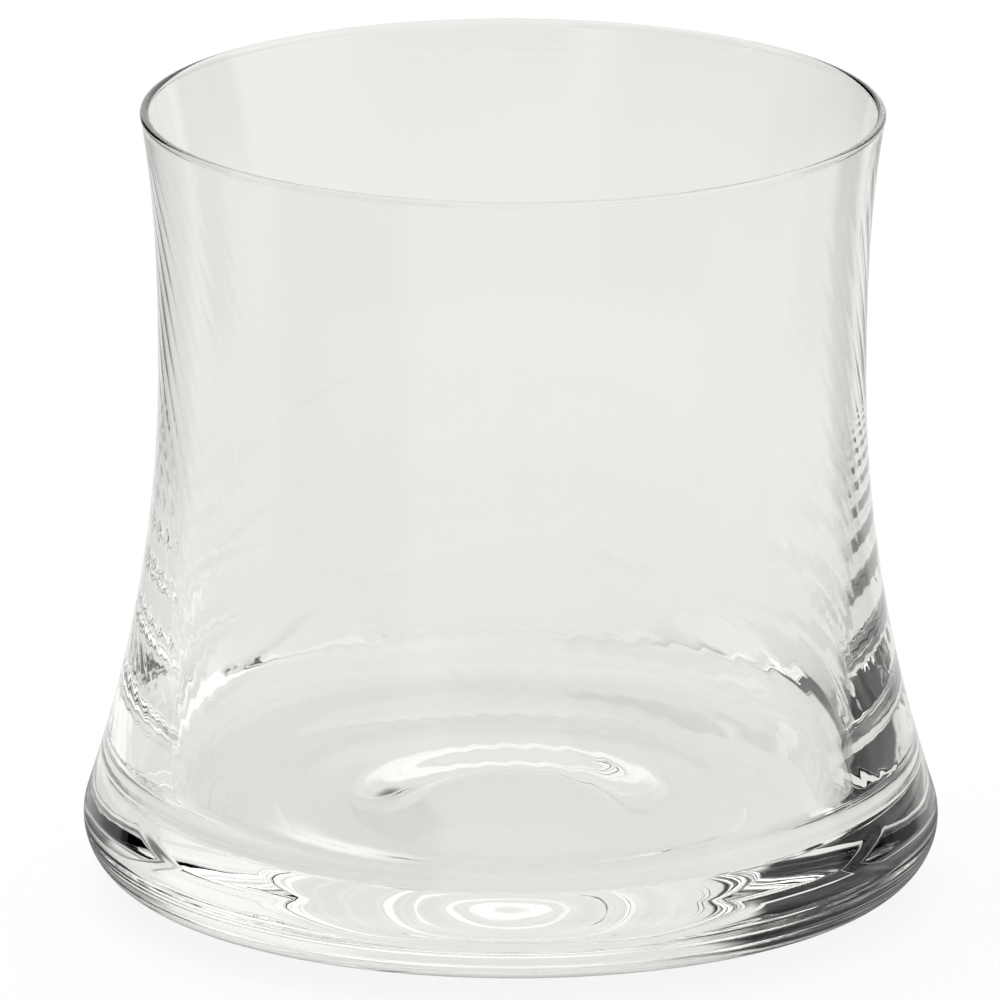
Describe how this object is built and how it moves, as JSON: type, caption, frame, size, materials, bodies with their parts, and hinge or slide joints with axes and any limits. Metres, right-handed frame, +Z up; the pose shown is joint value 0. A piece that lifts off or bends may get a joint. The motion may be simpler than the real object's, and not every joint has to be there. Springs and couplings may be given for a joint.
{
  "type": "drinking glass",
  "caption": "Low clear drinking glass with a thin waisted wall, a rounded lip, a wide rounded heel and a heavy base with a hollow under it.",
  "frame": {"origin": "centre of the flat standing ring, on the surface that the glass stands on", "axes": "+Z up along the axis of the glass, out of its mouth; the glass is a body of revolution about Z"},
  "size_m": [0.097, 0.097, 0.0906],
  "materials": {
    "clear_glass": "clear, smooth outside, with a faint spiral optic on the inside of the wall"
  },
  "bodies": {
    "root": {"lip": "clear_glass", "bowl_wall": "clear_glass", "heel_ring": "clear_glass", "base_disc": "clear_glass"}
  },
  "joints": []
}
